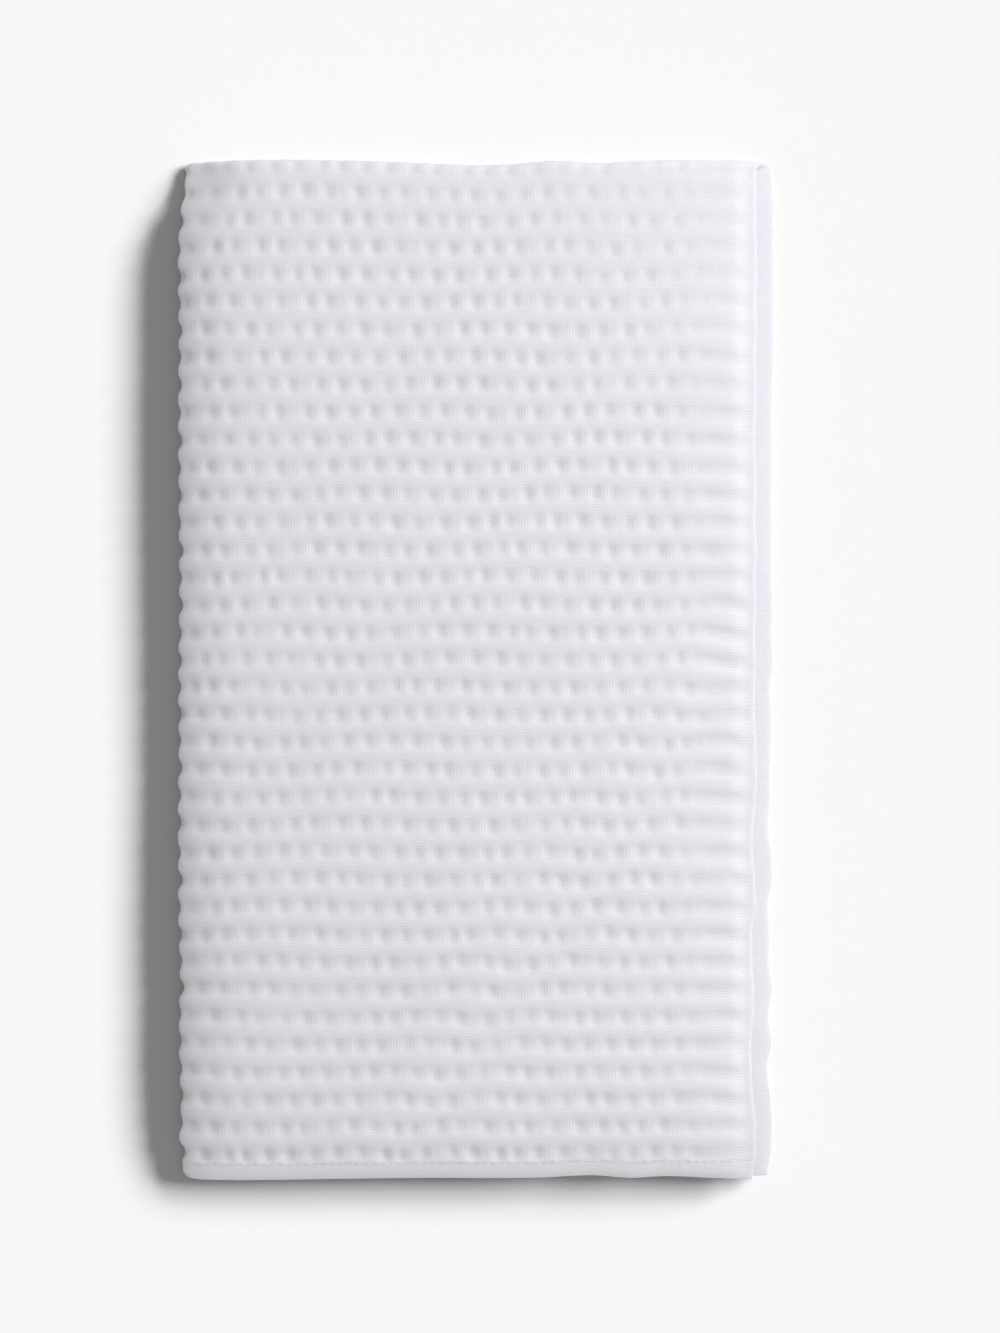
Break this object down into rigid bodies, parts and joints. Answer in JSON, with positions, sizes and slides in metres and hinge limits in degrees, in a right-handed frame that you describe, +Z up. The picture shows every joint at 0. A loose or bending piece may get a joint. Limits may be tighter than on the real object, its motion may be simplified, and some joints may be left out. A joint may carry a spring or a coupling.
{
  "type": "hand towel",
  "caption": "White honeycomb-weave cotton hand towel, folded in half both ways and lying flat, with its hems at the front and its selvedges along one side.",
  "frame": {"origin": "middle of the folded towel's footprint, on the surface that it lies on", "axes": "+X from the lengthwise fold to the open selvedges, +Y from the open hems to the crosswise fold, +Z up"},
  "size_m": [0.2102, 0.3598, 0.0142],
  "materials": {
    "cotton": "matt honeycomb weave"
  },
  "bodies": {
    "root": {"towel": "cotton"}
  },
  "joints": []
}
